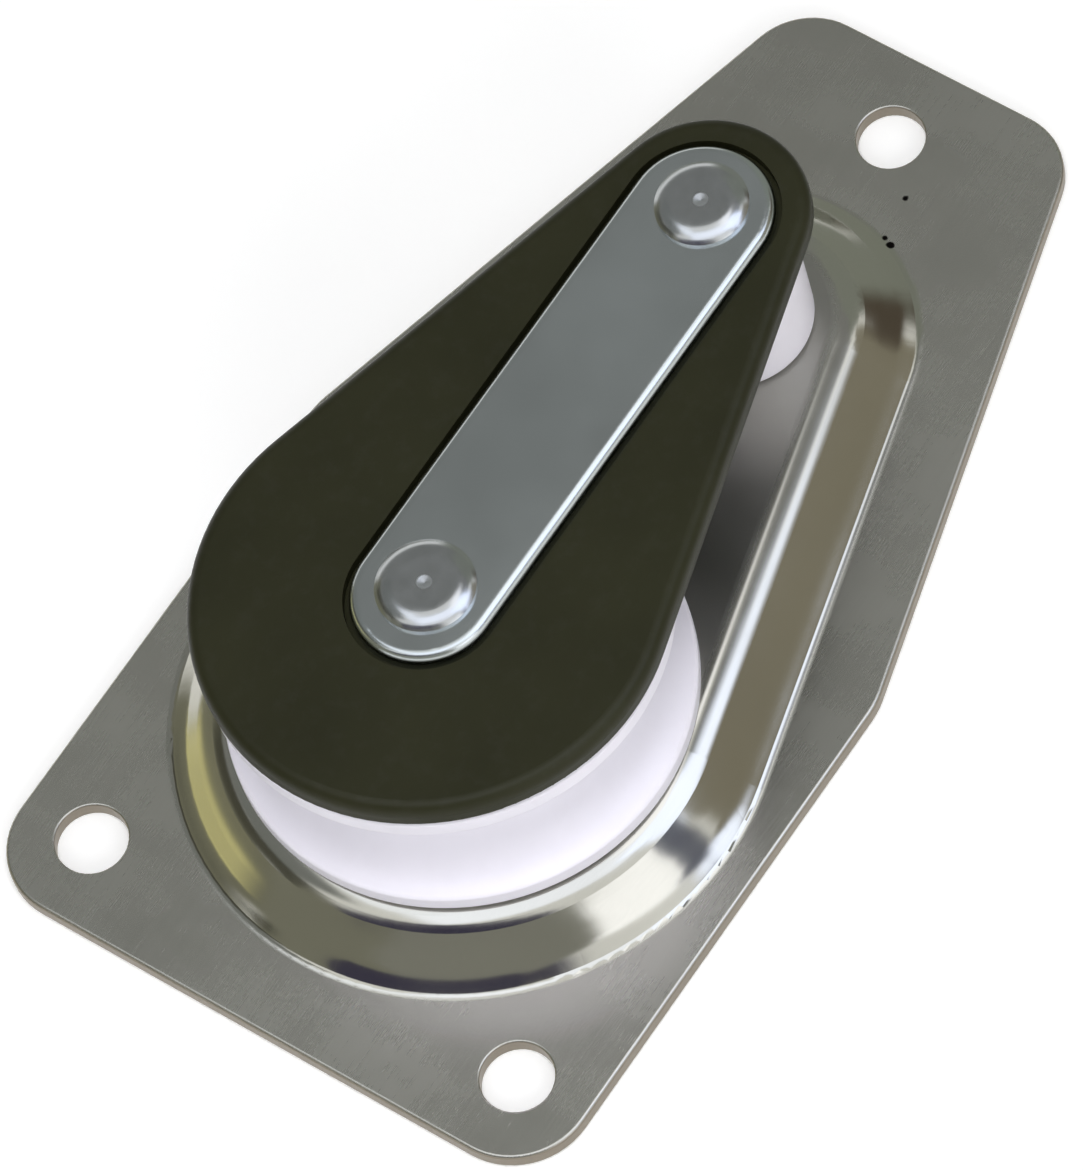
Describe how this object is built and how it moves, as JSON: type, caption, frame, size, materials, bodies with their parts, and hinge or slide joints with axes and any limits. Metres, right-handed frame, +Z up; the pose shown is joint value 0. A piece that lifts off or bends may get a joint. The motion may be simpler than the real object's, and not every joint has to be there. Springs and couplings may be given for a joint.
{
  "type": "bolt-down sheave block",
  "caption": "Low deck block: a grooved sheave turns on a riveted axle between a pressed steel mounting plate and a moulded cheek with a steel strap, to turn or lead a line.",
  "frame": {"origin": "centre of the plate's footprint, on its underside", "axes": "+X towards the narrow, one-hole end; +Z up, away from the surface that the block is bolted to; the sheave turns about Z"},
  "size_m": [0.117, 0.0648, 0.0301],
  "materials": {
    "plate_steel": "satin flange, polished raised boss",
    "sheave_plastic": "smooth white moulded plastic",
    "sleeve_steel": "turned and polished",
    "spacer_plastic": "smooth white moulded plastic",
    "cheek_plastic": "satin near-black moulded plastic",
    "strap_steel": "satin rolled strip with bright edges",
    "rivet_steel": "formed heads, polished at the rim"
  },
  "bodies": {
    "frame": {"base_plate": "plate_steel", "axle_sleeve": "sleeve_steel", "spacer": "spacer_plastic", "cheek": "cheek_plastic", "strap": "strap_steel", "axle_rivet": "rivet_steel", "spacer_rivet": "rivet_steel"},
    "sheave_wheel": {"sheave": "sheave_plastic"}
  },
  "joints": [
    {"name": "sheave_spin", "type": "hinge", "parent": "frame", "child": "sheave_wheel", "pos_m": [-0.0217, 0, 0.0162], "axis": [0, 0, 1], "continuous": true}
  ]
}
